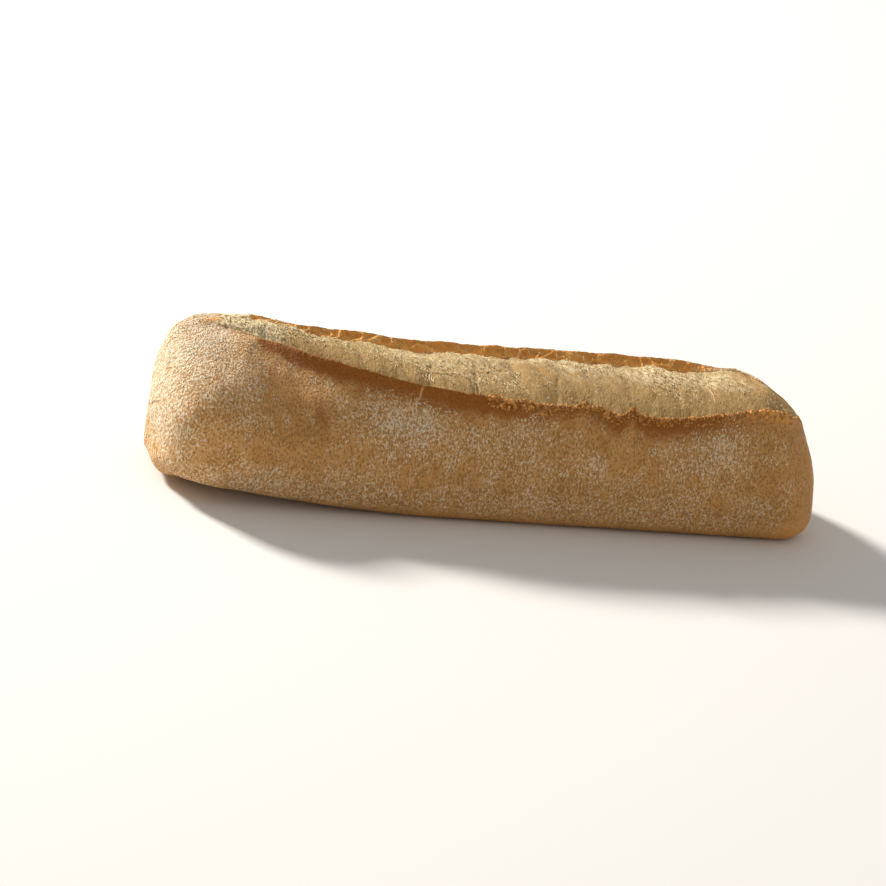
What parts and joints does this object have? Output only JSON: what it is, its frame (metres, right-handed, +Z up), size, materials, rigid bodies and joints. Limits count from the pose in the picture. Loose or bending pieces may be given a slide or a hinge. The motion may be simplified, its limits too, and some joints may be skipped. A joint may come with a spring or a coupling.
{
  "type": "ciabatta roll",
  "caption": "Long stick-shaped ciabatta roll with square pillowy ends, a flat base and a lengthwise slash torn open into a browned ear and pale crumb.",
  "frame": {"origin": "under the middle of the roll's box, on the surface that it stands on", "axes": "+X along the roll to the end where the slash runs out, -Y the front with the ear, +Z up"},
  "size_m": [0.255, 0.0668, 0.0535],
  "materials": {
    "crust": "matt, floured"
  },
  "bodies": {
    "root": {"loaf": "crust"}
  },
  "joints": []
}
